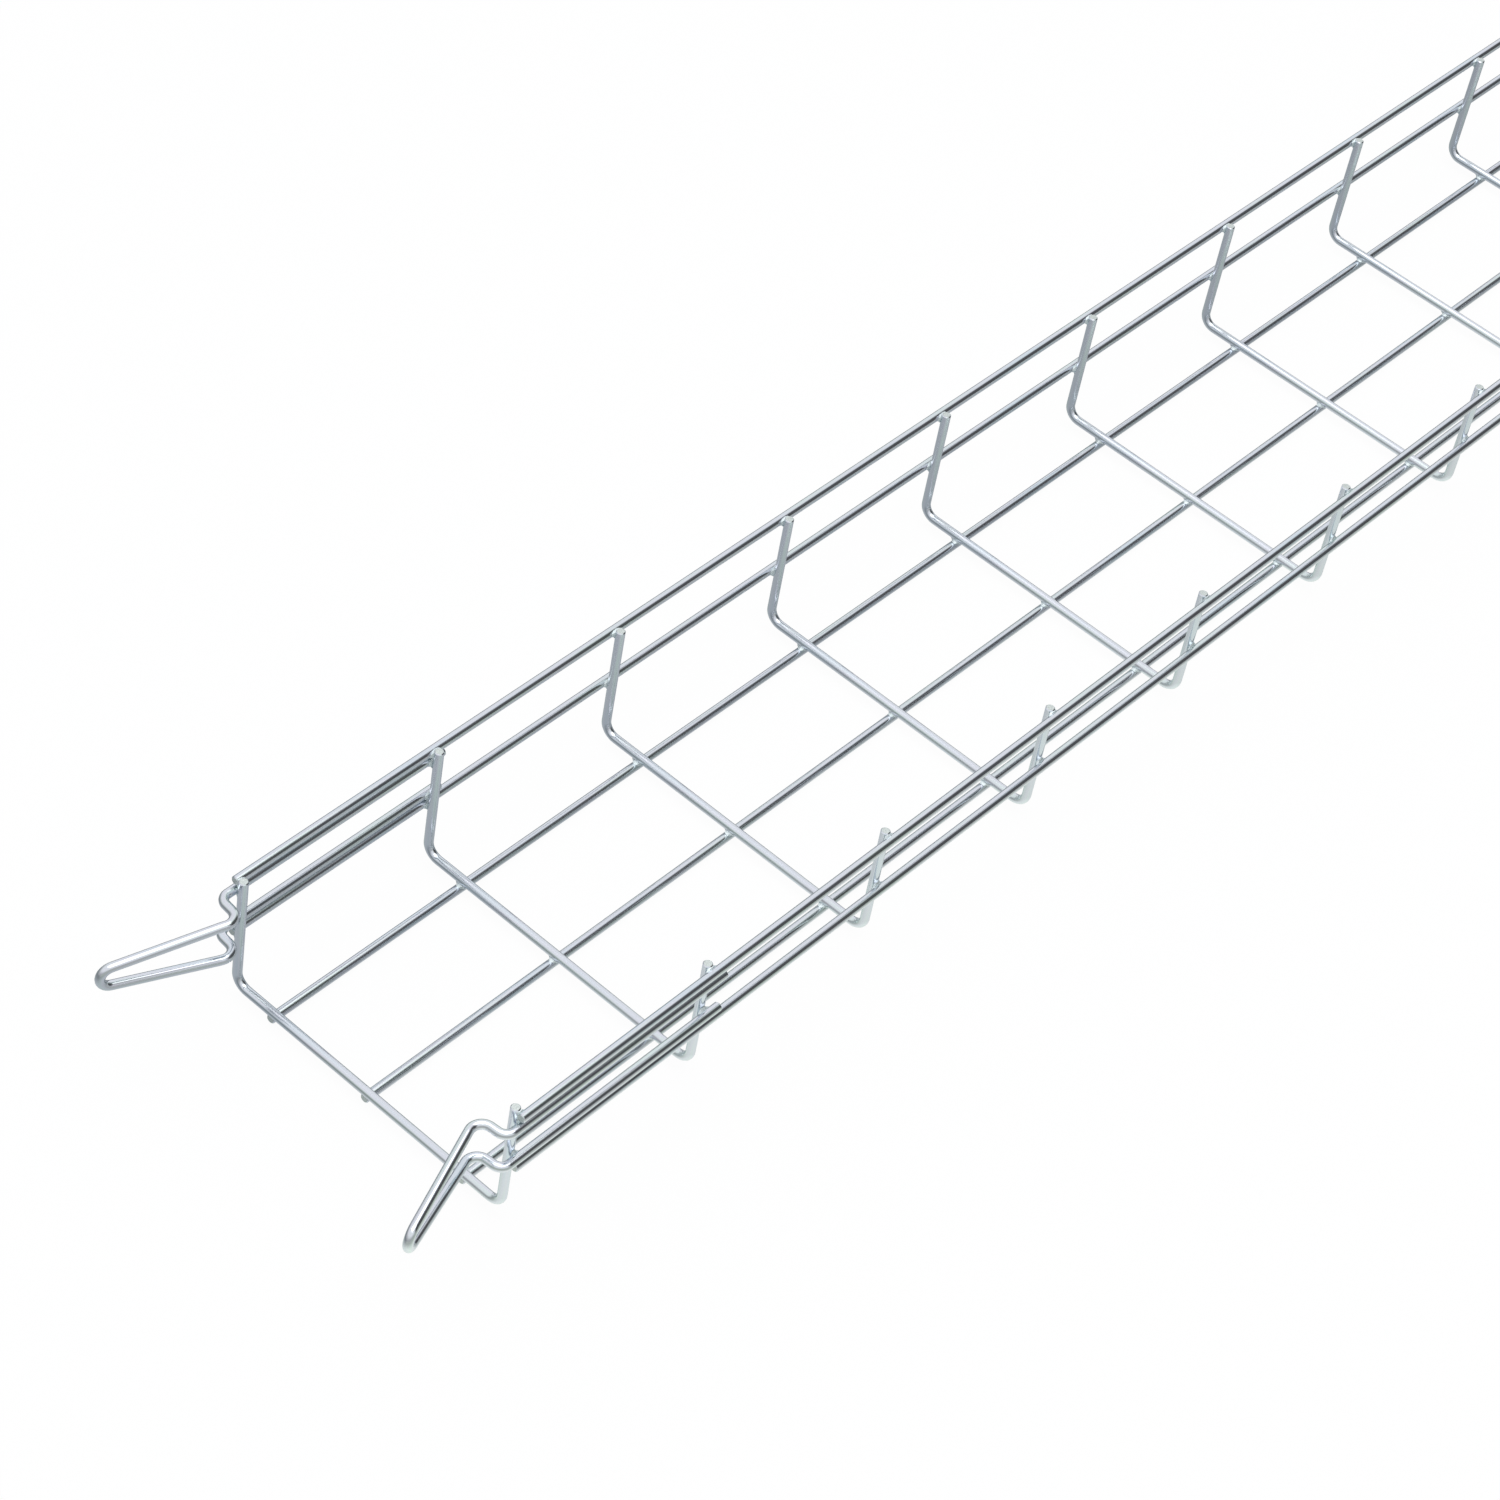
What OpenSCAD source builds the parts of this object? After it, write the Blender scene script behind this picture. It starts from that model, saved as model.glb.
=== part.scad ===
// Cable tray of welded steel wire, one stock length with a snap connector on each side wall.
// Millimetres, +Z up. The tray runs along +X, and its near end, with the connectors, is at X = 0.
// The origin is under the first cross wire, midway between the walls, on the plane that the tray rests on.

/* [Tray] */
// Number of mesh cells along the tray
cell_count = 30; // [4:1:30]
// Width over the outside of the side wires
tray_width = 150; // [110:10:200]
// Clear depth, from the top of the cross wires to the top of the rim wires
inside_depth = 54; // [48:1:70]

/* [Mesh] */
// Diameter of every wire
wire_d = 3.9; // [3.4:0.1:4.4]
// Distance from one cross wire to the next
cross_pitch = 100; // [60:5:120]
// Distance between neighbouring wires under the bottom
bottom_pitch = 50; // [30:5:60]
// Distance from the rim wire down to the middle wire of a side wall
side_pitch = 28; // [24:1:32]
// Radius of the cross wires' bends, to the middle of the wire
bend_r = 6; // [4.5:0.5:9]
// How far two crossing wires sink into each other at a weld
weld_sink = 0.2; // [0.1:0.05:0.5]
// How far the long wires reach past the middle of the end cross wires
end_overhang = 0.8; // [0.5:0.1:12]
// How far the cut ends of the cross wires stand above the middle of the rim wires
tip_rise = 2.5; // [1:0.5:8]
// Sides of the mesh wires
wire_sides = 12; // [8, 12]

/* [Snap connectors] */
// How far the legs reach past the second cross wire
leg_past = 6.5; // [4:0.5:20]
// Gap between a leg and the side wire beside it
leg_gap = 0.8; // [0.1:0.1:1.2]
// Clearance round the next tray's end cross wire, which snaps in between the crook and this tray's own
splice_gap = 0.1; // [0.05:0.05:0.5]
// How far the crook reaches inwards of the legs
crook_depth = 11.3; // [10.5:0.1:14]
// Angle by which the crook turns in from the legs' direction
crook_angle = 85; // [70:1:88]
// Radius of the crook's inner bend, to the middle of the wire
grip_r = 5; // [3:0.5:5.5]
// Angle at which the loop flares outwards
flare_angle = 20; // [10:1:30]
// Length of the flared loop, from the crook's inner bend to the middle of the wire at its tip
flare_length = 48; // [35:1:70]
// Radius of the loop's tip, to the middle of the wire
tip_r = 5; // [3:0.1:6]
// Straight stretch from the crook's inner bend to the bend that draws the legs together
pinch_start = 1; // [0.5:0.5:6]
// Radius of the slight bend that draws the legs together
pinch_r = 8; // [6:0.5:25]

/* [Hidden] */

zinc = "lightsteelblue";
bend_fn = 64;
// largest turn between two cross-sections of a bent wire
bend_step = 12;

// heights of the wires' middles
z_bottom = wire_d / 2;
z_cross = z_bottom + wire_d - weld_sink;
z_rim = z_cross + inside_depth;
z_mid = z_rim - side_pitch;
z_tip = z_rim + tip_rise;

// places across the tray of the side wires, the walls and the connectors' legs
y_side = (tray_width - wire_d) / 2;
y_wall = y_side - wire_d + weld_sink;
y_leg = y_wall + wire_d;

// Where the next tray's end cross wire stands, and the crook's bend round it, to the middle of the wire
splice_pitch = max(wire_d, 2 * end_overhang) + splice_gap;
crook_r = wire_d + splice_gap;

// the bottom wires share the flat between the two bends
flat_width = 2 * (y_wall - bend_r);
bottom_count = floor(flat_width / bottom_pitch) + 1;

tray_length = cell_count * cross_pitch;

// The wire's cross-section. A mesh wire is a polygon with flats towards the wires that it is welded to.
module wire_section(sides) {
    flats = sides <= 12;
    rotate(flats ? 180 / sides : 0)
        circle(r = flats ? wire_d / 2 / cos(180 / sides) : wire_d / 2, $fn = sides);
}

// A straight stretch of wire along +Z. What follows goes on from its end.
module run(length, sides) {
    linear_extrude(height = length)
        wire_section(sides);
    translate([0, 0, length])
        children();
}

// A bend that turns the wire from +Z towards +X. What follows goes on from its end.
module bend(radius, angle, sides) {
    translate([radius, 0, 0]) {
        rotate([90, 0, 180])
            rotate_extrude(angle = angle, $fn = bend_fn)
                translate([radius, 0])
                    wire_section(sides);
        rotate([0, angle, 0])
            translate([-radius, 0, 0])
                children();
    }
}

// A wire along the tray, over its whole length
module long_wire(y, z) {
    translate([-end_overhang, y, z])
        rotate([0, 90, 0])
            run(tray_length + 2 * end_overhang, wire_sides);
}

// A cross wire: down the left wall, across the bottom and up the right wall
module cross_wire(x) {
    wall_run = z_tip - z_cross - bend_r;
    translate([x, y_wall, z_tip])
        rotate([180, 0, -90])
            run(wall_run, wire_sides)
                bend(bend_r, 90, wire_sides)
                    run(flat_width, wire_sides)
                        bend(bend_r, 90, wire_sides)
                            run(wall_run, wire_sides);
}

module wire_mesh() {
    color(zinc) {
        for (i = [0 : cell_count])
            cross_wire(i * cross_pitch);
        for (i = [0 : bottom_count - 1])
            long_wire((i - (bottom_count - 1) / 2) * bottom_pitch, z_bottom);
        for (side = [-1, 1], z = [z_mid, z_rim])
            long_wire(side * y_side, z);
    }
}

// Moves and turns as 4 x 4 matrices, so that a bent wire can be followed from end to end
function moved(v) = [[1, 0, 0, v.x], [0, 1, 0, v.y], [0, 0, 1, v.z], [0, 0, 0, 1]];
function rolled(a) = [[cos(a), -sin(a), 0, 0], [sin(a), cos(a), 0, 0], [0, 0, 1, 0], [0, 0, 0, 1]];
function tilted(a) = [[cos(a), 0, sin(a), 0], [0, 1, 0, 0], [-sin(a), 0, cos(a), 0], [0, 0, 0, 1]];

// Where the wire is after a bend of this radius has turned it from +Z towards +X
function bent(radius, angle) = moved([radius, 0, 0]) * tilted(angle) * moved([-radius, 0, 0]);

// The wire's places along a list of steps, each [length fed, roll, bend radius, bend angle]. A place is
// rolled back by all the rolls before it, so that the wire's skin doesn't twist.
function places(steps, at = moved([0, 0, 0]), roll = 0, i = 0) =
    i == len(steps) ? [] :
    let (
        fed = at * moved([0, 0, steps[i][0]]) * rolled(steps[i][1]),
        all_roll = roll + steps[i][1],
        turns = ceil(steps[i][3] / bend_step),
        turn = steps[i][3] / max(1, turns)
    )
    concat(
        [for (k = [0 : turns]) fed * bent(steps[i][2], turn * k) * rolled(-all_roll)],
        places(steps, fed * bent(steps[i][2], steps[i][3]), all_roll, i + 1)
    );

// One wire bent by a list of steps, as a skin over its cross-sections
module bent_wire(steps) {
    rings = concat([moved([0, 0, 0])], places(steps));
    last = len(rings) - 1;
    corner_r = wire_d / 2 / cos(180 / wire_sides);
    ring = [for (k = [0 : wire_sides - 1]) let (a = (k + 0.5) * 360 / wire_sides)
        [corner_r * cos(a), corner_r * sin(a), 0, 1]];
    points = [for (m = rings, p = ring) let (q = m * p) [q.x, q.y, q.z]];
    sides = [for (i = [0 : last - 1], k = [0 : wire_sides - 1])
        let (
            a = i * wire_sides + k,
            b = i * wire_sides + (k + 1) % wire_sides
        )
        each [[a, a + wire_sides, b], [b, a + wire_sides, b + wire_sides]]];
    near_cap = [for (k = [0 : wire_sides - 1]) k];
    far_cap = [for (k = [wire_sides - 1 : -1 : 0]) last * wire_sides + k];
    polyhedron(points, concat([near_cap, far_cap], sides));
}

// The snap connector of the left wall: a hairpin of one wire. Both legs lie along the wall under the
// rim wire and over the middle wire, bend inwards to grip the next tray, and flare out to the loop.
module connector() {
    z_upper = z_rim - wire_d - leg_gap;
    z_lower = z_mid + wire_d + leg_gap;
    half_gap = (z_upper - z_lower) / 2;
    leg_length = cross_pitch + leg_past + splice_pitch;
    crook_run = (crook_depth - (crook_r + grip_r) * (1 - cos(crook_angle))) / sin(crook_angle);
    // the loop's straight stretch is the outer tangent of its slight bend and its tip
    reach = flare_length - pinch_start - tip_r;
    drop = half_gap - pinch_r;
    pinch_angle = atan2(drop, reach) + asin((pinch_r - tip_r) / norm([reach, drop]));
    pinch_run = reach * cos(pinch_angle) + drop * sin(pinch_angle);
    translate([cross_pitch + leg_past, y_leg, z_upper])
        rotate([0, -90, 0])
            rotate(-90)
                bent_wire([
                    [leg_length, 0, crook_r, crook_angle],
                    [crook_run, 180, grip_r, crook_angle + flare_angle],
                    [pinch_start, 90, pinch_r, pinch_angle],
                    [pinch_run, 0, tip_r, 180 - 2 * pinch_angle],
                    [pinch_run, 0, pinch_r, pinch_angle],
                    [pinch_start, -90, grip_r, crook_angle + flare_angle],
                    [crook_run, 180, crook_r, crook_angle],
                    [leg_length, 0, 0, 0]
                ]);
}

module connector_left() {
    color(zinc)
        connector();
}

module connector_right() {
    color(zinc)
        mirror([0, 1, 0])
            connector();
}

wire_mesh();
connector_left();
connector_right();
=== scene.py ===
# %% [markdown]
# # A wire mesh cable tray in Blender
# This lesson dresses a cable tray made of welded, zinc-plated steel wire. The tray's exact solids
# come from a CAD frame. Their wires are twelve-sided bars with plain overlaps at the welds, so here
# each wire is drawn again as a round tube along the same line, each weld gets its squeezed-out rim,
# and each finish gets its own material. Load the frame first: its box is the size to keep to.

# %% Load the frame
import math

import bpy
import numpy as np
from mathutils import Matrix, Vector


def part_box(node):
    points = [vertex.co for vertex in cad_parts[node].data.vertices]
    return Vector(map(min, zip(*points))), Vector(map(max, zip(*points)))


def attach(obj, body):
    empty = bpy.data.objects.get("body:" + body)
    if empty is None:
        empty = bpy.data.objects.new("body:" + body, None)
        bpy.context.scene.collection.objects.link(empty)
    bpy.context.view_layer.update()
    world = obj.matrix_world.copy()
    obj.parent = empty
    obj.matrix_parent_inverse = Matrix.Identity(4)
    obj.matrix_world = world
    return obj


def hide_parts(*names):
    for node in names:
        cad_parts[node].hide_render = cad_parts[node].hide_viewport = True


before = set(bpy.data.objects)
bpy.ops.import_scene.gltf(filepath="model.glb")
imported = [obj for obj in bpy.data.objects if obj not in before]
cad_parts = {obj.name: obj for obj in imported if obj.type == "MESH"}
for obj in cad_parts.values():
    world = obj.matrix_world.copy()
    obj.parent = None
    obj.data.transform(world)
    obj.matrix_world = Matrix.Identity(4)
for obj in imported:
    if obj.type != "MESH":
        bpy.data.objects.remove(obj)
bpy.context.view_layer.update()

MM = 0.001
mesh_low, mesh_high = (np.array(corner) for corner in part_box("wire_mesh"))
print("tray box in mm:", np.round(mesh_low / MM, 2), np.round(mesh_high / MM, 2))

# %% [markdown]
# ## Sizes
# The tray is a standard section, so a few sizes drive all the rest: the wire, the mesh, the depth
# and the bends. The width, the length and the height of the cut ends are read from the frame's box,
# so the wires land exactly where the CAD has them. Everything is in metres, so a size in
# millimetres is written as a number times MM.

# %% Sizes of the mesh
WIRE_D = 3.9 * MM
CROSS_PITCH = 100 * MM
BOTTOM_PITCH = 50 * MM
SIDE_PITCH = 28 * MM
BEND_R = 6 * MM
WELD_SINK = 0.2 * MM
END_OVERHANG = 0.8 * MM
TIP_RISE = 2.5 * MM

z_bottom = WIRE_D / 2
z_cross = z_bottom + WIRE_D - WELD_SINK
z_tip = mesh_high[2]
z_rim = z_tip - TIP_RISE
z_mid = z_rim - SIDE_PITCH
y_side = mesh_high[1] - WIRE_D / 2
y_wall = y_side - WIRE_D + WELD_SINK
tray_length = mesh_high[0] - max(END_OVERHANG, WIRE_D / 2)
x_start, x_end = -END_OVERHANG, tray_length + END_OVERHANG
cross_x = np.arange(round(tray_length / CROSS_PITCH) + 1) * CROSS_PITCH
print(len(cross_x), "cross wires; rim wires at", round(z_rim / MM, 2), "mm above the floor")

# %% [markdown]
# Each side wall ends in a snap connector: one wire bent like a hairpin, whose two legs are welded
# along the wall and whose crook grips the end wire of the next tray.

# %% Sizes of the snap connectors
LEG_PAST = 6.5 * MM
LEG_GAP = 0.8 * MM
SPLICE_GAP = 0.1 * MM
CROOK_DEPTH = 11.3 * MM
CROOK_ANGLE = 85
GRIP_R = 5 * MM
FLARE_ANGLE = 20
FLARE_LENGTH = 48 * MM
TIP_R = 5 * MM
PINCH_START = 1 * MM
PINCH_R = 8 * MM

y_leg = y_wall + WIRE_D
z_upper = z_rim - WIRE_D - LEG_GAP
z_lower = z_mid + WIRE_D + LEG_GAP
splice_pitch = WIRE_D + SPLICE_GAP
crook_r = WIRE_D + SPLICE_GAP
print("connector legs", round((z_upper - z_lower) / MM, 2), "mm apart")

# %% [markdown]
# ## Camera
# The camera comes early, so that every piece can be looked at as it is made. It stands in front of
# the connectors, to the right of the tray, and looks down along it. A long lens keeps the far cells
# from shrinking much. A camera looks along its own -Z, with +Y up, so its matrix is built from the
# direction that it looks in, then rolled about that line. Blender takes each row of a plain array
# as a column of the matrix, which is why the array is turned over with .T. Aiming the camera at an
# empty object would be simpler, but it leaves no say in the roll.

# %% Camera
CAMERA_AT = np.array([-0.7040, -0.6131, 1.1681])
CAMERA_AHEAD = np.array([0.57895, 0.39173, -0.71510])
CAMERA_ROLL = 11.28
LENS = 97.02


def camera_matrix(at, ahead, roll):
    """Columns right, up and back: right is level before the roll, and the roll turns right and up
    about the line of sight by cosine and sine."""
    ahead = ahead / np.linalg.norm(ahead)
    level = np.cross(ahead, [0, 0, 1])
    level /= np.linalg.norm(level)
    upright = np.cross(level, ahead)
    c, s = math.cos(math.radians(roll)), math.sin(math.radians(roll))
    matrix = np.eye(4)
    right, up = c * level + s * upright, c * upright - s * level
    matrix[:3, :3] = np.column_stack([right, up, -ahead])
    matrix[:3, 3] = at
    return matrix


camera = bpy.data.objects.new("camera", bpy.data.cameras.new("camera"))
camera.data.lens = LENS
bpy.context.scene.collection.objects.link(camera)
camera.matrix_world = camera_matrix(CAMERA_AT, CAMERA_AHEAD, CAMERA_ROLL).T
bpy.context.scene.camera = camera
print("camera looks down by", round(math.degrees(math.asin(-CAMERA_AHEAD[2])), 1), "degrees")

# %% [markdown]
# ## Following a wire
# A real wire is fed straight and bent by a machine, step after step. The same steps draw it here
# with 4 x 4 matrices, each of which holds a place and three directions. A curve object with a
# bevel would be quicker to make, but it gives no control over the cut ends or over where the
# drawing marks run. Three small functions make the matrices: a move, a turn and a bend.

# %% Moves and turns
def moved(x, y, z):
    """A move, as the last column of a 4 x 4 matrix."""
    matrix = np.eye(4)
    matrix[:3, 3] = x, y, z
    return matrix


def turned(angle, a, b):
    """A turn by an angle in degrees from axis a towards axis b: cosines on the diagonal, plus and
    minus sine off it."""
    c, s = math.cos(math.radians(angle)), math.sin(math.radians(angle))
    matrix = np.eye(4)
    matrix[a, a], matrix[b, b], matrix[b, a], matrix[a, b] = c, c, s, -s
    return matrix


def bent(radius, angle):
    """The place after a bend from +Z towards +X: a turn about a line one radius away along +X."""
    return moved(radius, 0, 0) @ turned(angle, 2, 0) @ moved(-radius, 0, 0)


quarter = bent(BEND_R, 90)[:3, 3] / MM
print("a bend of 90 degrees ends", np.round(quarter, 1) + 0.0, "mm from its start")

# %% [markdown]
# A wire is a list of steps, each [length fed, roll, bend radius, bend angle]. Multiplying the
# matrices of its steps gives a matrix at every station of the wire. A bend gets one station for
# every few degrees, which is enough to look round, and a straight stretch needs none in between.

# %% Stations along a wire
BEND_STEP = 9


def stations(start, steps):
    """The matrices along a wire: each straight stretch adds one at its end, and each bend one for
    every BEND_STEP degrees or less. Each is turned back by the sum of the rolls before it, so that
    the skin doesn't twist."""
    at, found, all_roll = start, [start], 0
    for length, roll, radius, angle in steps:
        at = at @ moved(0, 0, length) @ turned(roll, 0, 1)
        all_roll += roll
        parts = math.ceil(angle / BEND_STEP)
        turns = [angle * k / max(1, parts) for k in range(parts + 1)]
        found += [at @ bent(radius, turn) @ turned(-all_roll, 0, 1) for turn in turns]
        at = at @ bent(radius, angle)
    return np.array(found)


def facing(place, x_axis, z_axis):
    """A start matrix from its place, its +X direction and the direction of the wire."""
    matrix = moved(*place)
    matrix[:3, :3] = np.column_stack([x_axis, np.cross(z_axis, x_axis), z_axis])
    return matrix


print("a bend of 90 degrees has", len(stations(np.eye(4), [[0, 0, BEND_R, 90]])), "stations")

# %% [markdown]
# ## From stations to a skin
# The skin is a grid: one ring of points per station, joined to the next ring by quads. Its two
# ends are sheared, so the last ring shrinks over a short bevel before a flat cap closes the wire.
# A point's place within the wire is worked out with it, the length run and the two distances from
# its middle, because the marks of the drawing die follow the wire round its bends.

# %% Round wires
WIRE_SIDES = 16
BEVEL = 0.35 * MM
CUT_SHARE = 0.82


def with_bevels(path):
    """The path with one station more near each end, and the radius at each station: the end rings
    keep CUT_SHARE of the wire's radius, and the next ones have all of it."""
    near, far = path[0] @ moved(0, 0, BEVEL), path[-1] @ moved(0, 0, -BEVEL)
    path = np.concatenate([path[:1], [near], path[1:-1], [far], path[-1:]])
    radius = np.full(len(path), WIRE_D / 2)
    radius[[0, -1]] *= CUT_SHARE
    return path, radius


def wire_skin(path):
    """A point of the skin is the station's place plus the radius times (cosine of the angle along
    its X, sine along its Y). Faces join each ring to the next, and two polygons cap the ends."""
    path, radius = with_bevels(path)
    angle = np.arange(WIRE_SIDES) * 2 * math.pi / WIRE_SIDES
    ring = np.stack([np.cos(angle), np.sin(angle)])
    across = np.einsum("sij,jk->ski", path[:, :3, :2], ring) * radius[:, None, None]
    points = path[:, None, :3, 3] + across
    run = np.r_[0, np.cumsum(np.linalg.norm(np.diff(path[:, :3, 3], axis=0), axis=1))]
    marks = np.empty_like(points)
    marks[..., 0] = run[:, None]
    marks[..., 1:] = radius[:, None, None] * ring.T[None]
    index = np.arange(len(path) * WIRE_SIDES).reshape(len(path), WIRE_SIDES)
    after = np.roll(index, -1, axis=1)
    quads = np.stack([index[:-1], after[:-1], after[1:], index[1:]], axis=-1).reshape(-1, 4)
    caps = np.stack([index[0, ::-1], index[-1]])
    return points.reshape(-1, 3), marks.reshape(-1, 3), quads, caps


def joined(skins):
    """Several wires as one set of arrays: each wire's faces count on from the points before it."""
    firsts = np.r_[0, np.cumsum([len(skin[0]) for skin in skins])[:-1]]
    points = np.concatenate([skin[0] for skin in skins])
    marks = np.concatenate([skin[1] for skin in skins])
    quads = np.concatenate([skin[2] + first for skin, first in zip(skins, firsts)])
    caps = np.concatenate([skin[3] + first for skin, first in zip(skins, firsts)])
    return points, marks, quads, caps


print("a wire has", WIRE_SIDES, "sides, and its ends are bevelled by", round(BEVEL / MM, 2), "mm")

# %% [markdown]
# ## From arrays to a piece
# An array becomes an object in four steps: a mesh, its shading, an object in the scene, and its
# materials. Shading is smooth round a wire and sharp at its cut ends, where two faces meet at more
# than SHARP_ANGLE degrees, so the flat ends don't spoil the reflections along the wire. Every piece
# then rides on the tray's only body, because nothing on a tray moves.

# %% Adding a piece
SHARP_ANGLE = 35


def add_piece(name, points, faces, slots, cut_faces=0):
    """A mesh object at the origin: smooth faces, with the last cut_faces of them flat and in the
    second material slot."""
    mesh = bpy.data.meshes.new(name)
    mesh.from_pydata(points, [], faces)
    smooth = np.ones(len(faces), bool)
    material = np.zeros(len(faces), np.int32)
    if cut_faces:
        smooth[-cut_faces:] = False
        material[-cut_faces:] = 1
    mesh.polygons.foreach_set("use_smooth", smooth)
    mesh.polygons.foreach_set("material_index", material)
    mesh.update()
    mesh.set_sharp_from_angle(angle=math.radians(SHARP_ANGLE))
    piece = bpy.data.objects.new(name, mesh)
    bpy.context.scene.collection.objects.link(piece)
    for finish in slots:
        mesh.materials.append(finish)
    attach(piece, "root")
    print(name, "has", len(faces), "faces and", len(points), "points")
    return piece


def add_wires(name, skins, slots):
    """Wires as one piece, with each point's place within its wire kept as an attribute."""
    points, marks, quads, caps = joined(skins)
    piece = add_piece(name, points, quads.tolist() + caps.tolist(), slots, cut_faces=len(caps))
    attribute = piece.data.attributes.new("within_wire", "FLOAT_VECTOR", "POINT")
    attribute.data.foreach_set("vector", marks.ravel())
    return piece


print("edges sharper than", SHARP_ANGLE, "degrees stay sharp")

# %% [markdown]
# ## Materials
# Three finishes are on the tray, and all of them are zinc on steel. Colours are written as the
# sRGB values that a colour picker shows, and one function turns them to the linear values that
# shaders work with. One more function adds any node, with its settings and its links.

# %% Colour and node helpers
def linear(code):
    """sRGB hex to linear: a channel up to 0.04045 is divided by 12.92, and one above it has 0.055
    added, is divided by 1.055 and raised to the power 2.4."""
    srgb = np.array([int(code[i:i + 2], 16) for i in (1, 3, 5)]) / 255
    value = np.where(srgb <= 0.04045, srgb / 12.92, ((srgb + 0.055) / 1.055) ** 2.4)
    return (*value, 1.0)


def add_node(tree, kind, settings=None, **links):
    """Adds a node. Settings are its properties or, for a socket, its value; links join its sockets
    to other nodes' outputs. A socket is named with spaces as underscores, or s0, s1 by number."""
    node = tree.nodes.new(kind)

    def socket(name):
        if name[0] == "s" and name[1:].isdigit():
            return node.inputs[int(name[1:])]
        return node.inputs[name.replace("_", " ")]

    for name, value in (settings or {}).items():
        if hasattr(node, name):
            setattr(node, name, value)
        else:
            socket(name).default_value = value
    for name, output in links.items():
        tree.links.new(output, socket(name))
    return node


def new_material(name):
    """An empty node material with its output, its tree and its principled shader."""
    material = bpy.data.materials.new(name)
    material.use_nodes = True
    tree = material.node_tree
    tree.nodes.clear()
    shader = add_node(tree, "ShaderNodeBsdfPrincipled", {"Metallic": 1.0})
    add_node(tree, "ShaderNodeOutputMaterial", Surface=shader.outputs["BSDF"])
    return material, tree, shader


print("mid grey #808080 is", round(linear("#808080")[0], 3), "in linear light")

# %% [markdown]
# ### Bright zinc plating
# Drawn steel wire is pulled through a die, which leaves faint marks along it, and is then
# electroplated with a few microns of zinc under a clear blue passivation. The eye gets a cool,
# clear reflection that is slightly drawn out across the wire, and long streaks that lean to blue,
# green or lilac where the film's thickness drifts. Real die marks are finer than a tenth of a
# millimetre. They are drawn coarser here, as wide as it takes to show. An anisotropic gloss would
# draw out the reflection too, but it shows no marks from close by, so a bump is used.
#
# Both patterns follow the wire, so they read the within_wire attribute and not Object coordinates:
# along the wire their scale is one over a length, and across it one over a width. A noise texture's
# values lie mostly between 0.3 and 0.7, which is why the roughness is spread over that range.

# %% Zinc-plated drawn wire
DIE_MARK, MARK_LENGTH = 0.6 * MM, 30 * MM
MARK_DEPTH, MARK_STRENGTH = 0.01 * MM, 0.1
FILM_WIDTH, FILM_LENGTH = 2.2 * MM, 60 * MM
NOISE_LOW, NOISE_HIGH = 0.3, 0.7
SMOOTHEST, ROUGHEST = 0.12, 0.17
BLUE_FILM, LILAC_FILM, GREEN_FILM = "#D9E4EB", "#E1E3EB", "#DDE8E7"

zinc_wire, tree, shader = new_material("electroplated_zinc_on_drawn_steel_wire")
within = add_node(tree, "ShaderNodeAttribute", {"attribute_name": "within_wire"})
die_place = add_node(tree, "ShaderNodeMapping",
                     {"Scale": (1 / MARK_LENGTH, 1 / DIE_MARK, 1 / DIE_MARK)},
                     Vector=within.outputs["Vector"])
die_marks = add_node(tree, "ShaderNodeTexNoise", {"Scale": 1.0, "Detail": 2.0},
                     Vector=die_place.outputs["Vector"])
film_place = add_node(tree, "ShaderNodeMapping",
                      {"Scale": (1 / FILM_LENGTH, 1 / FILM_WIDTH, 1 / FILM_WIDTH)},
                      Vector=within.outputs["Vector"])
film = add_node(tree, "ShaderNodeTexNoise", {"Scale": 1.0, "Detail": 2.0},
                Vector=film_place.outputs["Vector"])
film_tint = add_node(tree, "ShaderNodeValToRGB", Fac=film.outputs["Fac"])
blue, green = film_tint.color_ramp.elements
blue.position, blue.color = 0.34, linear(BLUE_FILM)
green.position, green.color = 0.66, linear(GREEN_FILM)
film_tint.color_ramp.elements.new(0.5).color = linear(LILAC_FILM)
roughness = add_node(tree, "ShaderNodeMapRange",
                     {"From Min": NOISE_LOW, "From Max": NOISE_HIGH,
                      "To Min": SMOOTHEST, "To Max": ROUGHEST},
                     Value=die_marks.outputs["Fac"])
bump = add_node(tree, "ShaderNodeBump", {"Strength": MARK_STRENGTH, "Distance": MARK_DEPTH},
                Height=die_marks.outputs["Fac"])
tree.links.new(film_tint.outputs["Color"], shader.inputs["Base Color"])
tree.links.new(roughness.outputs["Result"], shader.inputs["Roughness"])
tree.links.new(bump.outputs["Normal"], shader.inputs["Normal"])
print(zinc_wire.name, "has", len(tree.nodes), "nodes")

# %% [markdown]
# ### Sheared ends
# The mesh is cut to length with shears before it is plated, so the ends are plated too, but torn
# and dull. The tears could be modelled, but they are small, so a rougher finish with a coarse bump
# shows them. Their grain has no direction, and plain Object coordinates are enough.

# %% Sheared ends
TEAR_GRAIN, TEAR_DEPTH, TEAR_STRENGTH = 0.5 * MM, 0.15 * MM, 0.6
TORN_DARK, TORN_LIGHT, TORN_ROUGHNESS = "#ACB3AF", "#EFF6F3", 0.48

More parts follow.
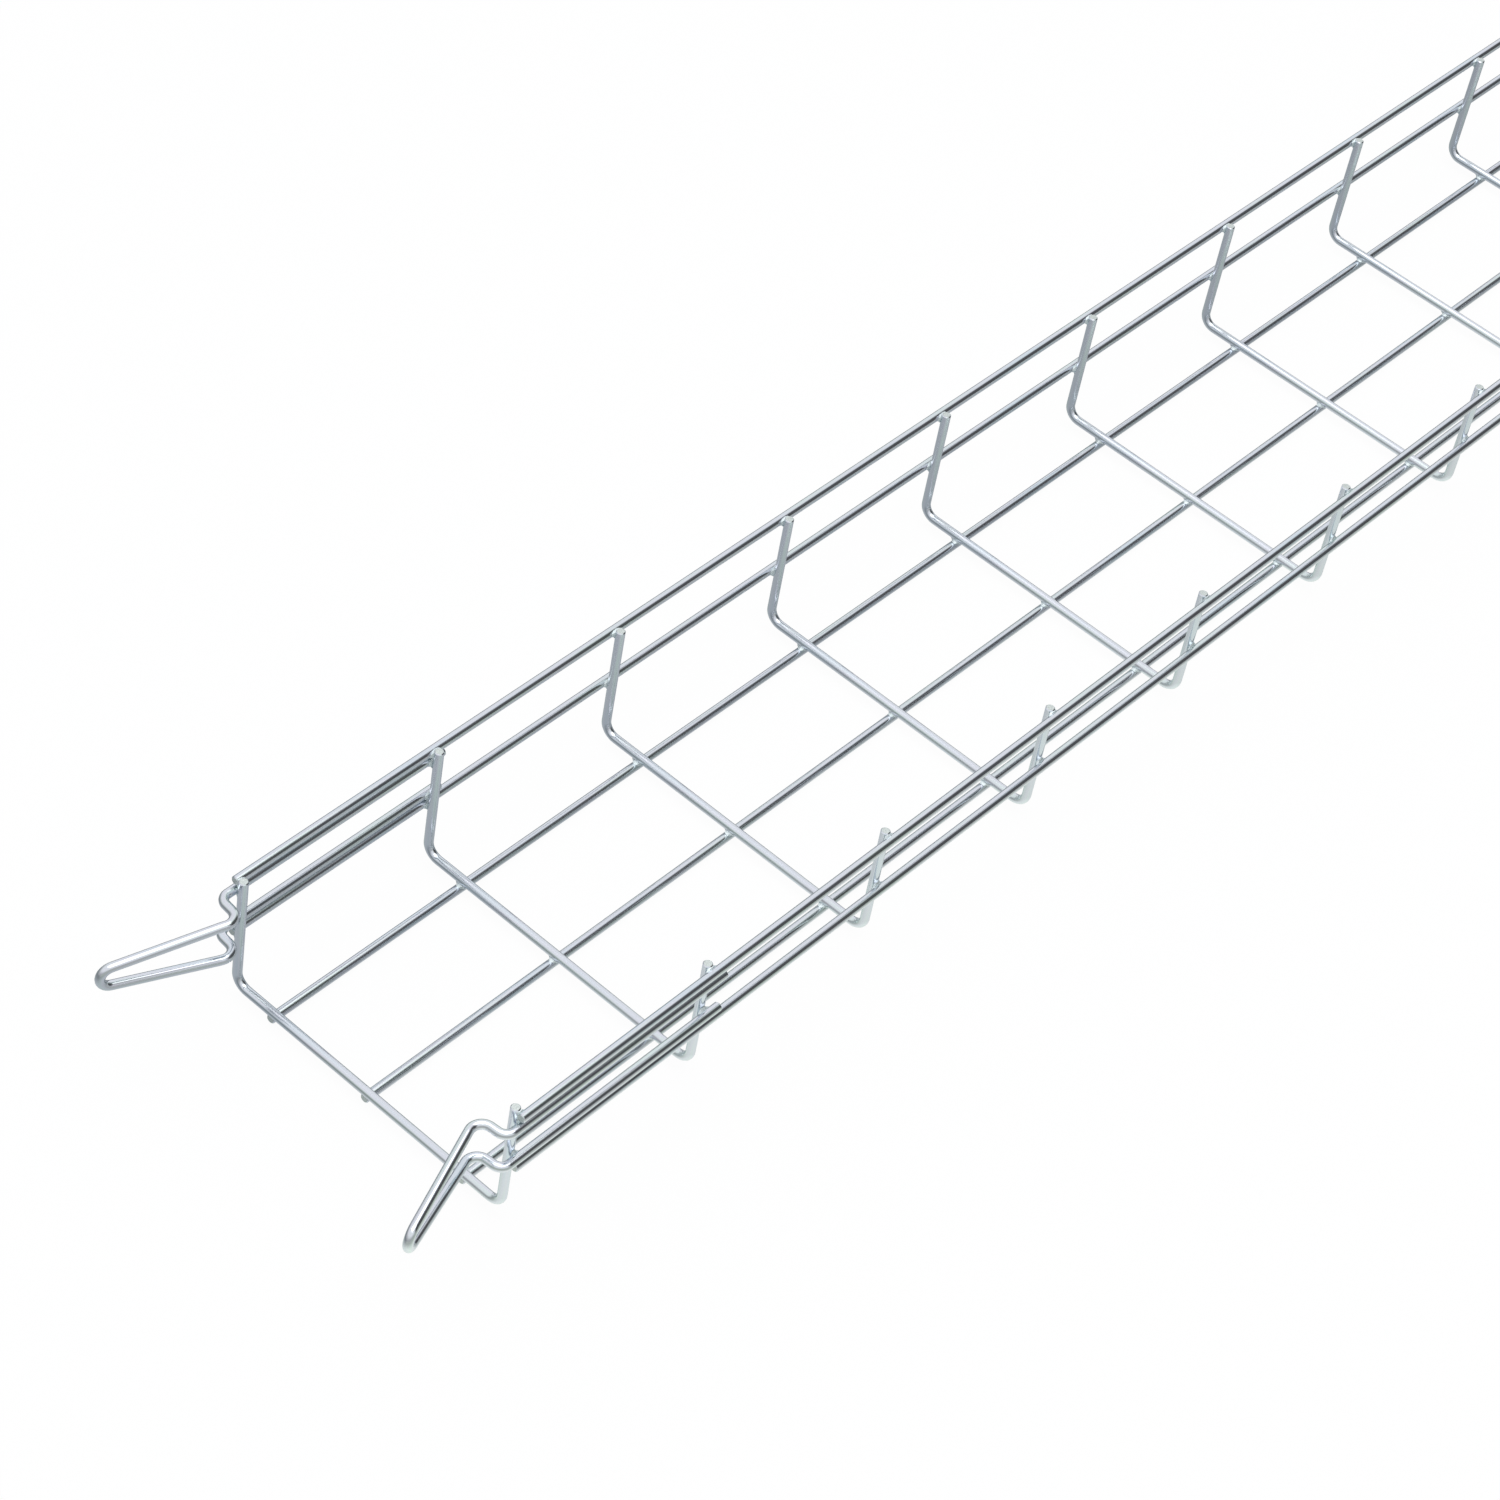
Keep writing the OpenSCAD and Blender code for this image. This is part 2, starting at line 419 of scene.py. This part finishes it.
sheared_end, tree, shader = new_material("zinc_on_sheared_steel")
tear_place = add_node(tree, "ShaderNodeTexCoord")
tears = add_node(tree, "ShaderNodeTexNoise", {"Scale": 1 / TEAR_GRAIN, "Detail": 4.0},
                 Vector=tear_place.outputs["Object"])
tear_tint = add_node(tree, "ShaderNodeValToRGB", Fac=tears.outputs["Fac"])
tear_tint.color_ramp.elements[0].color = linear(TORN_DARK)
tear_tint.color_ramp.elements[1].color = linear(TORN_LIGHT)
bump = add_node(tree, "ShaderNodeBump", {"Strength": TEAR_STRENGTH, "Distance": TEAR_DEPTH},
                Height=tears.outputs["Fac"])
tree.links.new(tear_tint.outputs["Color"], shader.inputs["Base Color"])
tree.links.new(bump.outputs["Normal"], shader.inputs["Normal"])
shader.inputs["Roughness"].default_value = TORN_ROUGHNESS
print(sheared_end.name, "has", len(tree.nodes), "nodes")

# %% [markdown]
# ### Weld flash
# Resistance welding presses two hot wires together, and a rim of metal is squeezed out round the
# joint. Zinc plates it unevenly, so it is matt, faintly crystalline and a little green. A noise
# would give soft clouds, so a Voronoi texture is used: it splits the surface into crystals with
# clear borders, each with its own shade. Real ones are finer, and these are as coarse as it takes
# to show.

# %% Weld flash
CRYSTAL, CRYSTAL_DEPTH, CRYSTAL_STRENGTH = 0.4 * MM, 0.1 * MM, 0.5
FLASH_DARK, FLASH_LIGHT, FLASH_ROUGHNESS = "#DDEAEC", "#F2F8F8", 0.58

weld_flash, tree, shader = new_material("zinc_on_weld_flash")
crystal_place = add_node(tree, "ShaderNodeTexCoord")
crystals = add_node(tree, "ShaderNodeTexVoronoi", {"Scale": 1 / CRYSTAL},
                    Vector=crystal_place.outputs["Object"])
crystal_tint = add_node(tree, "ShaderNodeValToRGB", Fac=crystals.outputs["Color"])
crystal_tint.color_ramp.elements[0].color = linear(FLASH_DARK)
crystal_tint.color_ramp.elements[1].color = linear(FLASH_LIGHT)
bump = add_node(tree, "ShaderNodeBump",
                {"Strength": CRYSTAL_STRENGTH, "Distance": CRYSTAL_DEPTH},
                Height=crystals.outputs["Distance"])
tree.links.new(crystal_tint.outputs["Color"], shader.inputs["Base Color"])
tree.links.new(bump.outputs["Normal"], shader.inputs["Normal"])
shader.inputs["Roughness"].default_value = FLASH_ROUGHNESS
print(weld_flash.name, "has", len(tree.nodes), "nodes")

# %% [markdown]
# ## The mesh
# A cross wire starts at a cut end above the left rim, goes down the wall, round one bend, across
# the bottom and up the other wall. The long wires are straight: three under the cross wires, and
# two outside each wall. An Array modifier could repeat one cell, but it would cut the long wires
# at every cell. Here each wire is drawn whole, and the cross wires are copies of one path, moved
# along. All of them are one welded piece on the real tray, so they are one here.

# %% Cross wires and long wires
LEFT, UP, ALONG = np.array([0, 1, 0]), np.array([0, 0, 1]), np.array([1, 0, 0])

wall_run = z_tip - z_cross - BEND_R
flat_run = 2 * (y_wall - BEND_R)
cross_path = stations(
    facing([0, y_wall, z_tip], -LEFT, -UP),
    [[wall_run, 0, BEND_R, 90], [flat_run, 0, BEND_R, 90], [wall_run, 0, 0, 0]],
)
cross_skins = [wire_skin(moved(x, 0, 0) @ cross_path) for x in cross_x]

bottom_count = int(flat_run / BOTTOM_PITCH) + 1
bottom_y = (np.arange(bottom_count) - (bottom_count - 1) / 2) * BOTTOM_PITCH
long_places = [(y, z_bottom) for y in bottom_y]
long_places += [(side * y_side, z) for side in (-1, 1) for z in (z_mid, z_rim)]
long_skins = [
    wire_skin(stations(facing([x_start, y, z], UP, ALONG), [[x_end - x_start, 0, 0, 0]]))
    for y, z in long_places
]
tray_wires = add_wires("tray_wires", cross_skins + long_skins, [zinc_wire, sheared_end])
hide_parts("wire_mesh")

# %% [markdown]
# ## The snap connectors
# Each hairpin starts at the far end of its upper leg. It runs along the wall, crooks inwards round
# the next tray's end wire, turns back outwards and flares to a loop, and comes back the same way
# as the lower leg. Inside the loop, the straight stretch is the outer tangent of two circles, a
# slight bend and the tip, which gives the angle at which the legs close in on each other.

# %% Snap connectors
leg_length = CROSS_PITCH + LEG_PAST + splice_pitch
crook_cos, crook_sin = math.cos(math.radians(CROOK_ANGLE)), math.sin(math.radians(CROOK_ANGLE))
crook_run = (CROOK_DEPTH - (crook_r + GRIP_R) * (1 - crook_cos)) / crook_sin
reach = FLARE_LENGTH - PINCH_START - TIP_R
drop = (z_upper - z_lower) / 2 - PINCH_R
pinch = math.atan2(drop, reach) + math.asin((PINCH_R - TIP_R) / math.hypot(reach, drop))
pinch_run = reach * math.cos(pinch) + drop * math.sin(pinch)
pinch = math.degrees(pinch)
hairpin = stations(
    facing([CROSS_PITCH + LEG_PAST, y_leg, z_upper], -LEFT, -ALONG),
    [
        [leg_length, 0, crook_r, CROOK_ANGLE],
        [crook_run, 180, GRIP_R, CROOK_ANGLE + FLARE_ANGLE],
        [PINCH_START, 90, PINCH_R, pinch],
        [pinch_run, 0, TIP_R, 180 - 2 * pinch],
        [pinch_run, 0, PINCH_R, pinch],
        [PINCH_START, -90, GRIP_R, CROOK_ANGLE + FLARE_ANGLE],
        [crook_run, 180, crook_r, CROOK_ANGLE],
        [leg_length, 0, 0, 0],
    ],
)
left_skin = wire_skin(hairpin)


def mirrored(skin):
    """The same wire on the other wall: y changes sign, and each face's points are listed backwards,
    so that it still faces outwards."""
    points, marks, quads, caps = skin
    return points * [1, -1, 1], marks, quads[:, ::-1], caps[:, ::-1]


for side, skin in (("left", left_skin), ("right", mirrored(left_skin))):
    connector_wire = add_wires(f"connector_wire_{side}", [skin], [zinc_wire, sheared_end])
    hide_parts(f"connector_{side}")
    low, high = skin[0].min(axis=0) / MM, skin[0].max(axis=0) / MM
    print(connector_wire.name, "spans", np.round(low, 1), "to", np.round(high, 1), "mm")

# %% [markdown]
# ## Welds
# At a weld, two crossing wires touch over a small spot, and the flash fills the corner round it. It
# is a closed collar: one ring lies on the first wire and is long in that wire's direction, one lies
# on the second wire and is long in the other, and a narrower ring between them makes the hollow. A
# point inside each wire closes the collar, out of sight. There are hundreds, so each has few faces.
# Joining the wires with a Boolean and rounding the seam would be truer, but slow and fragile.

# %% One weld collar
COLLAR_LONG, COLLAR_WIDE = 3.4 * MM, 1.65 * MM
COLLAR_SIDES = 12
COLLAR_UNEVEN = 0.08
COLLAR_HOLLOW = 0.95
TUCKED_IN = 0.06 * MM
rng = np.random.default_rng(7)


def collars(count):
    """Rings of points for a number of collars. The first wire lies along X under the weld, and the
    second along Y over it. A wire's height under a point is its middle plus the root of the radius
    squared less the distance squared, and each ring is an ellipse, uneven by a few per cent. The
    outer rings are tucked a little into the wires, and the one between them is their average,
    drawn in by COLLAR_HOLLOW."""
    radius, middle = WIRE_D / 2, WIRE_D / 2 - WELD_SINK / 2
    angle = np.arange(COLLAR_SIDES) * 2 * math.pi / COLLAR_SIDES
    uneven = 1 + COLLAR_UNEVEN * rng.uniform(-1, 1, (3, count, COLLAR_SIDES))
    c, s = np.cos(angle), np.sin(angle)
    under = np.stack([COLLAR_LONG * c * uneven[0], COLLAR_WIDE * s * uneven[0]], axis=-1)
    over = np.stack([COLLAR_WIDE * c * uneven[1], COLLAR_LONG * s * uneven[1]], axis=-1)
    height_under = np.sqrt(radius ** 2 - under[..., 1] ** 2) - middle - TUCKED_IN
    height_over = middle + TUCKED_IN - np.sqrt(radius ** 2 - over[..., 0] ** 2)
    rings = np.zeros((count, 3, COLLAR_SIDES, 3))
    rings[:, 0, :, :2], rings[:, 0, :, 2] = under, height_under
    rings[:, 2, :, :2], rings[:, 2, :, 2] = over, height_over
    rings[:, 1] = (rings[:, 0] + rings[:, 2]) / 2
    rings[:, 1, :, :2] *= COLLAR_HOLLOW * uneven[2][..., None]
    poles = np.zeros((count, 2, 3))
    poles[:, 0, 2], poles[:, 1, 2] = -radius / 2, radius / 2
    return np.concatenate([rings.reshape(count, -1, 3), poles], axis=1)


def collar_faces(count):
    """Two bands of quads between the three rings, and a fan of triangles to each pole."""
    ring = np.arange(3 * COLLAR_SIDES).reshape(3, COLLAR_SIDES)
    after = np.roll(ring, -1, axis=1)
    quads = np.stack([ring[:-1], after[:-1], after[1:], ring[1:]], axis=-1).reshape(-1, 4)
    low = np.full(COLLAR_SIDES, 3 * COLLAR_SIDES)
    high = low + 1
    fans = np.concatenate([np.stack([low, after[0], ring[0]], axis=-1),
                           np.stack([high, ring[2], after[2]], axis=-1)])
    first = np.arange(count)[:, None, None] * (3 * COLLAR_SIDES + 2)
    return (quads + first).reshape(-1, 4).tolist() + (fans + first).reshape(-1, 3).tolist()


print("a collar has", 4 * COLLAR_SIDES, "faces")

# %% [markdown]
# The places of all the collars are the crossings, which are every combination of a list of X, a
# list of Y and a list of Z. A small matrix turns the collars of one group to lie along their own
# pair of wires. An instance on each crossing would need less memory, but every instance would be
# the same, and here each weld is uneven in its own way.

# %% Placing the welds
def weld_places(x, y, z):
    """Every combination of the three lists, as rows."""
    return np.stack(np.meshgrid(x, y, z, indexing="ij"), axis=-1).reshape(-1, 3)


def add_welds(name, groups):
    """Each group is (places, direction of the second wire, direction from the first wire to it). A
    collar's X, Y and Z go to the tray's X, to the second wire and to that direction. No collar
    reaches past the cut ends of its wires."""
    parts = []
    for places, second, towards in groups:
        turn = np.stack([np.cross(second, towards), second, towards])
        parts.append(collars(len(places)) @ turn + places[:, None, :])
    points = np.concatenate(parts)
    points[..., 0] = np.clip(points[..., 0], x_start, x_end)
    points[..., 2] = np.minimum(points[..., 2], z_tip - BEVEL)
    print(name, "has", len(points), "welds")
    return add_piece(name, points.reshape(-1, 3), collar_faces(len(points)), [weld_flash])


touch = WIRE_D / 2 - WELD_SINK / 2
print("a weld lies", round(touch / MM, 2), "mm from the middles of its two wires")

# %% [markdown]
# Every crossing of the mesh has a weld. Under the bottom, the long wires come first and the cross
# wires lie over them, so these collars look up. On a wall they look inwards, from the side wires to
# the cross wires. The connectors' legs are welded to the first two cross wires only.

# %% All the welds
side_z = [z_mid, z_rim]
mesh_welds = add_welds("mesh_welds", [
    (weld_places(cross_x, bottom_y, [z_bottom + touch]), LEFT, UP),
    (weld_places(cross_x, [y_side - touch], side_z), UP, -LEFT),
    (weld_places(cross_x, [-y_side + touch], side_z), -UP, LEFT),
])
leg_x, leg_z = [0, CROSS_PITCH], [z_lower, z_upper]
connector_welds = add_welds("connector_welds", [
    (weld_places(leg_x, [y_leg - touch], leg_z), UP, -LEFT),
    (weld_places(leg_x, [-y_leg + touch], leg_z), -UP, LEFT),
])

# %% [markdown]
# ## Floor and light
# A shiny wire shows its surroundings, so they matter as much as its colour. Around the tray are a
# white floor, a plain room and one soft lamp, and each leaves its own line along a round wire: a
# light one from above, a dark one from the room's unlit corner, and a paler one from the floor's
# painted glow. Together they make the wire look round. The floor comes first: one large sheet under
# the tray, which is part of the stage and not of the object.

# %% White paper floor
FLOOR_SIZE = 60.0

corner = FLOOR_SIZE / 2
floor_mesh = bpy.data.meshes.new("floor")
floor_mesh.from_pydata(
    [(-corner, -corner, 0), (corner, -corner, 0), (corner, corner, 0), (-corner, corner, 0)],
    [], [(0, 1, 2, 3)],
)
floor = bpy.data.objects.new("floor", floor_mesh)
bpy.context.scene.collection.objects.link(floor)
print("floor", FLOOR_SIZE, "m wide")

# %% [markdown]
# The floor's finish is matt white paper. Seen straight, it is almost pure white with a trace of the
# tray's shadow, and a mix of a glow and a matt shader gives both. Seen in the wires, it shows a
# painted glow in place of lit paper: an emission, painted brighter and a little greener towards the
# tray's right, on the lamp's side, as a painted pool of light, and painted dimmer at a shallow
# angle, as a painted reflection of the dim room there. Layer Weight's Facing tells the angle, from
# 0 straight on to 1 along the paper. More lamps could light plain matt paper as brightly, but then
# the wires would get too much light.

# %% Matt white paper, with a painted glow in reflections
PAPER, WHITE, WHITE_SHARE = "#F7F7F7", "#FFFFFF", 0.95
LEFT_Y, RIGHT_Y = 60 * MM, -100 * MM
PAINTED_GLOW_LEFT, PAINTED_GLOW_RIGHT = 0.60, 1.08
PAINTED_GLOW_TINT_LEFT, PAINTED_GLOW_TINT_RIGHT = "#F1F8FD", "#F5FAF4"
STEEP, SHALLOW, SHALLOW_SHARE = 0.1, 0.7, 0.50

paper = bpy.data.materials.new("white_paper_with_painted_glow")
paper.use_nodes = True
tree = paper.node_tree
tree.nodes.clear()
matt = add_node(tree, "ShaderNodeBsdfDiffuse", {"Color": linear(PAPER)})
white = add_node(tree, "ShaderNodeEmission", {"Color": linear(WHITE), "Strength": 1.0})
rays = add_node(tree, "ShaderNodeLightPath")
seen = add_node(tree, "ShaderNodeMath", {"operation": "MAXIMUM"},
                s0=rays.outputs["Is Camera Ray"], s1=rays.outputs["Is Transmission Ray"])
share = add_node(tree, "ShaderNodeMath", {"operation": "MULTIPLY", "s1": WHITE_SHARE},
                 s0=seen.outputs["Value"])
plain = add_node(tree, "ShaderNodeMixShader", s0=share.outputs["Value"], s1=matt.outputs["BSDF"],
                 s2=white.outputs["Emission"])
spot = add_node(tree, "ShaderNodeTexCoord")
spot_y = add_node(tree, "ShaderNodeSeparateXYZ", Vector=spot.outputs["Object"])
# Painted light: a pool of glow, brighter and greener towards the right, seen only by glossy rays.
to_right = add_node(tree, "ShaderNodeMapRange", {"From Min": LEFT_Y, "From Max": RIGHT_Y},
                    Value=spot_y.outputs["Y"])
across = add_node(tree, "ShaderNodeMapRange", {"To Min": PAINTED_GLOW_LEFT, "To Max": PAINTED_GLOW_RIGHT},
                  Value=to_right.outputs["Result"])
painted_glow_tint = add_node(tree, "ShaderNodeValToRGB", Fac=to_right.outputs["Result"])
painted_glow_tint.color_ramp.elements[0].color = linear(PAINTED_GLOW_TINT_LEFT)
painted_glow_tint.color_ramp.elements[1].color = linear(PAINTED_GLOW_TINT_RIGHT)
# Painted shade: the glow is dimmed at a shallow angle, in place of the dim room that glossy paper
# would mirror there.
slant = add_node(tree, "ShaderNodeLayerWeight", {"Blend": 0.5})
painted_shallow_shade = add_node(tree, "ShaderNodeMapRange",
                  {"From Min": STEEP, "From Max": SHALLOW, "To Min": 1.0, "To Max": SHALLOW_SHARE},
                  Value=slant.outputs["Facing"])
painted_glow_level = add_node(tree, "ShaderNodeMath", {"operation": "MULTIPLY"},
                s0=across.outputs["Result"], s1=painted_shallow_shade.outputs["Result"])
# Painted glow: this emission is the floor that the wires reflect, not light from the lamp.
painted_floor_glow = add_node(tree, "ShaderNodeEmission", Color=painted_glow_tint.outputs["Color"],
                     Strength=painted_glow_level.outputs["Value"])
both = add_node(tree, "ShaderNodeMixShader", s0=rays.outputs["Is Glossy Ray"],
                s1=plain.outputs["Shader"], s2=painted_floor_glow.outputs["Emission"])
add_node(tree, "ShaderNodeOutputMaterial", Surface=both.outputs["Shader"])
floor_mesh.materials.append(paper)
print(paper.name, "has", len(tree.nodes), "nodes")

# %% [markdown]
# ### The room
# The room is painted in the world's shader, from the direction in which a ray leaves. Walls could
# be modelled, but a few sums on the direction do the same and render faster. The walls are light
# above and darker towards the floor, which depends on the direction's height. A pale backdrop
# stands ahead on the left, and the corner ahead on the right is unlit. For these two, the dot
# product with a fixed direction gives the cosine of the angle to it. The backdrop lightens the
# walls, by a maximum, and the unlit corner covers both, by a minimum. Where the camera looks past
# the floor's edge, it sees plain white.

# %% The room's walls
WALL_TINT, WALL_LOW, WALL_HIGH = "#FBFCFF", 0.45, 0.94
WALL_FROM_Z, WALL_TO_Z = 0.05, 0.62
BACKDROP_SIDE, BACKDROP_FROM, BACKDROP_TO = (0.77, 0.64, 0.0), 0.4, 0.85
DARK_SIDE, DARK_FROM, DARK_TO, DARK_LEVEL = (0.73, -0.58, 0.36), 0.72, 0.91, 0.09

world = bpy.data.worlds.new("studio_room")
bpy.context.scene.world = world
world.use_nodes = True
tree = world.node_tree
tree.nodes.clear()
direction = add_node(tree, "ShaderNodeTexCoord")
height = add_node(tree, "ShaderNodeSeparateXYZ", Vector=direction.outputs["Generated"])
walls = add_node(tree, "ShaderNodeMapRange",
                 {"interpolation_type": "SMOOTHSTEP", "From Min": WALL_FROM_Z,
                  "From Max": WALL_TO_Z, "To Min": WALL_LOW, "To Max": WALL_HIGH},
                 Value=height.outputs["Z"])
towards_back = add_node(tree, "ShaderNodeVectorMath",
                        {"operation": "DOT_PRODUCT", "s1": BACKDROP_SIDE},
                        s0=direction.outputs["Generated"])
backdrop = add_node(tree, "ShaderNodeMapRange",
                    {"interpolation_type": "SMOOTHSTEP", "From Min": BACKDROP_FROM,
                     "From Max": BACKDROP_TO, "To Min": 0.0, "To Max": WALL_HIGH},
                    Value=towards_back.outputs["Value"])
towards_dark = add_node(tree, "ShaderNodeVectorMath",
                        {"operation": "DOT_PRODUCT", "s1": DARK_SIDE},
                        s0=direction.outputs["Generated"])
unlit = add_node(tree, "ShaderNodeMapRange",
                 {"From Min": DARK_FROM, "From Max": DARK_TO,
                  "To Min": WALL_HIGH, "To Max": DARK_LEVEL},
                 Value=towards_dark.outputs["Value"])
walls_and_back = add_node(tree, "ShaderNodeMath", {"operation": "MAXIMUM"},
                          s0=walls.outputs["Result"], s1=backdrop.outputs["Result"])
level = add_node(tree, "ShaderNodeMath", {"operation": "MINIMUM"},
                 s0=walls_and_back.outputs["Value"], s1=unlit.outputs["Result"])
room = add_node(tree, "ShaderNodeBackground", {"Color": linear(WALL_TINT)},
                Strength=level.outputs["Value"])
blank = add_node(tree, "ShaderNodeBackground", {"Color": linear(WHITE), "Strength": 1.0})
rays = add_node(tree, "ShaderNodeLightPath")
seen = add_node(tree, "ShaderNodeMath", {"operation": "MAXIMUM"},
                s0=rays.outputs["Is Camera Ray"], s1=rays.outputs["Is Transmission Ray"])
sky = add_node(tree, "ShaderNodeMixShader", s0=seen.outputs["Value"],
               s1=room.outputs["Background"], s2=blank.outputs["Background"])
add_node(tree, "ShaderNodeOutputWorld", Surface=sky.outputs["Shader"])
print(world.name, "has", len(tree.nodes), "nodes")

# %% [markdown]
# ### The lamp
# One wide soft lamp hangs overhead, a little to the tray's right. It brings the light on the floor
# to a plain level, at which mid grey looks mid grey, and gives the tray its faint shadow. It also
# draws the brightest line along the tops of the cross wires. A small lamp or a sun would leave a
# thin glint and a hard shadow instead.

# %% Soft lamp overhead
LAMP_LONG, LAMP_WIDE, LAMP_POWER = 2.9, 2.8, 30.0
LAMP_AT = (0.1, -0.35, 3.0)

lamp_data = bpy.data.lights.new("softbox", "AREA")
lamp_data.shape = "RECTANGLE"
lamp_data.size, lamp_data.size_y = LAMP_LONG, LAMP_WIDE
lamp_data.energy = LAMP_POWER
lamp = bpy.data.objects.new("softbox", lamp_data)
bpy.context.scene.collection.objects.link(lamp)
lamp.location = LAMP_AT
brightness = LAMP_POWER / (LAMP_LONG * LAMP_WIDE * math.pi)
print("lamp gives", round(brightness, 2), "W per square metre and steradian")

# %% [markdown]
# ## Finish
# Colours are shown as they are written.

# %% Finish
bpy.context.scene.view_settings.view_transform = "Standard"
